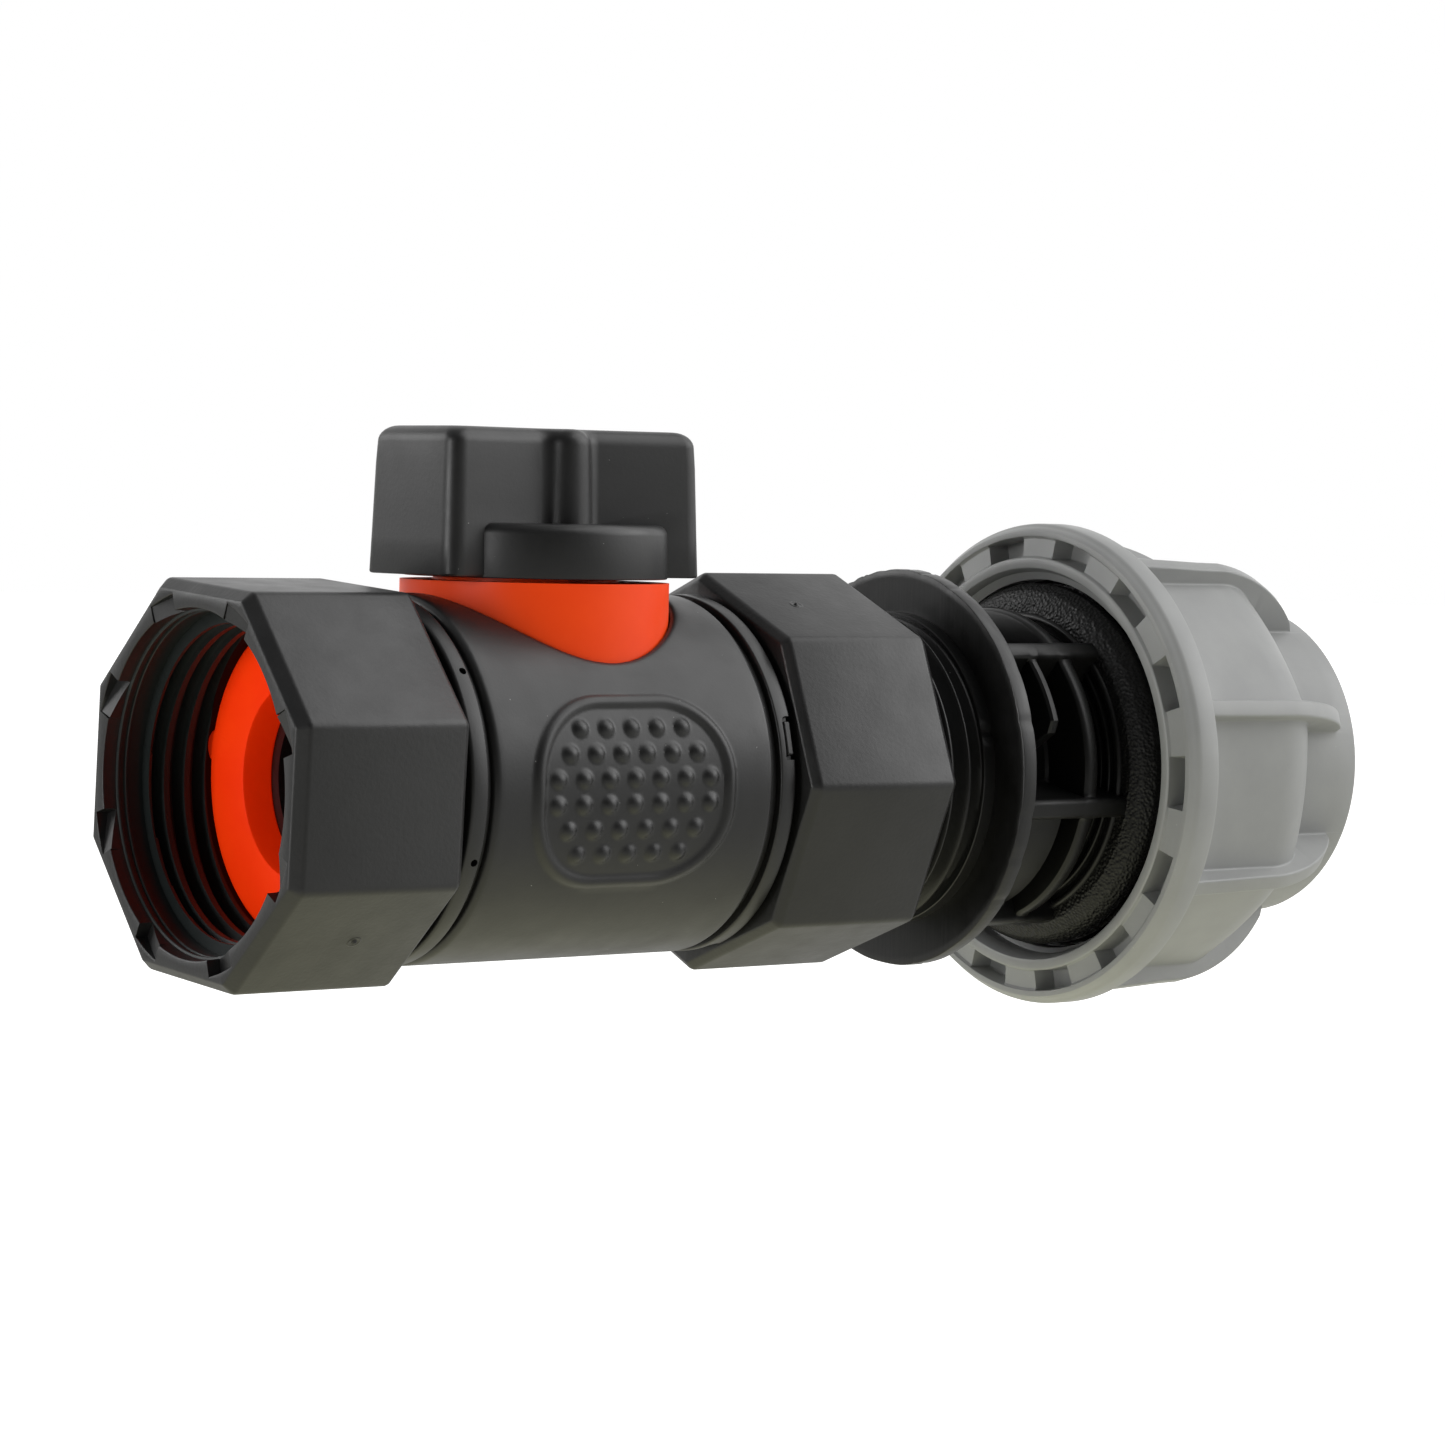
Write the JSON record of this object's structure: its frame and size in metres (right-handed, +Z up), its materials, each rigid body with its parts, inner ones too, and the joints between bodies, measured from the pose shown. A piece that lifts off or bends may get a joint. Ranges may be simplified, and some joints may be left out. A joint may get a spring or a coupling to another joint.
{
  "type": "in-line ball valve with compression adapter",
  "caption": "Plastic in-line ball valve with a bar handle, an octagonal swivel nut at each end and a ribbed compression nut for plastic pipe.",
  "frame": {"origin": "on the pipe axis, where the inlet nut's thread starts", "axes": "+X along the pipe towards the compression nut, +Z up the stem to the handle, +Y across, away from the side shown in the order"},
  "size_m": [0.1093, 0.0412, 0.0479],
  "materials": {
    "black_plastic": "satin moulded polypropylene",
    "nut_black": "fine-grained satin moulded polypropylene",
    "handle_black": "fine-grained satin moulded polypropylene",
    "adapter_black": "semi-gloss moulded polypropylene",
    "core_orange": "satin moulded plastic",
    "washer_orange": "soft matt rubber",
    "seal_rubber": "black nitrile rubber",
    "seat_white": "smooth white seat plastic",
    "ball_white": "smooth natural acetal",
    "nut_grey": "satin grey moulded polypropylene"
  },
  "bodies": {
    "valve_body": {"valve_core": "core_orange", "barrel_sleeve": "black_plastic", "inlet_collar": "black_plastic", "outlet_collar": "black_plastic", "inlet_tailpiece": "black_plastic", "outlet_tailpiece": "black_plastic", "inlet_tail_o_ring": "seal_rubber", "outlet_tail_o_ring": "seal_rubber", "inlet_seat": "seat_white", "outlet_seat": "seat_white", "inlet_washer": "washer_orange", "outlet_washer": "washer_orange"},
    "handle_stem": {"handle": "handle_black", "stem": "black_plastic", "ball": "ball_white", "stem_o_ring_lower": "seal_rubber", "stem_o_ring_upper": "seal_rubber"},
    "inlet_swivel": {"inlet_nut": "nut_black"},
    "outlet_swivel": {"outlet_nut": "nut_black"},
    "adapter": {"adapter_body": "adapter_black", "pipe_o_ring": "seal_rubber", "thrust_ring": "adapter_black"},
    "grip": {"grip_ring": "ball_white"},
    "compression": {"compression_nut": "nut_grey"}
  },
  "joints": [
    {"name": "handle_turn", "type": "hinge", "parent": "valve_body", "child": "handle_stem", "pos_m": [0.02915, 0, 0], "axis": [0, 0, -1], "range_deg": [0, 90]},
    {"name": "inlet_nut_spin", "type": "hinge", "parent": "valve_body", "child": "inlet_swivel", "pos_m": [0, 0, 0], "axis": [1, 0, 0], "continuous": true},
    {"name": "outlet_nut_turn", "type": "hinge", "parent": "valve_body", "child": "outlet_swivel", "pos_m": [0.052, 0, 0], "axis": [-1, 0, 0], "range_deg": [0, 1440]},
    {"name": "adapter_travel", "type": "slide", "parent": "valve_body", "child": "adapter", "axis": [1, 0, 0], "range_m": [0, 0.0073]},
    {"name": "grip_travel", "type": "slide", "parent": "adapter", "child": "grip", "axis": [1, 0, 0], "range_m": [-0.0031, 0.0061]},
    {"name": "compression_nut_turn", "type": "hinge", "parent": "grip", "child": "compression", "pos_m": [0.09, 0, 0], "axis": [1, 0, 0], "range_deg": [-360, 720]}
  ],
  "couplings": [
    {"joint": "adapter_travel", "follows": "outlet_nut_turn", "m_per_rad": 0.00028871},
    {"joint": "grip_travel", "follows": "compression_nut_turn", "m_per_rad": 0.00047746}
  ]
}
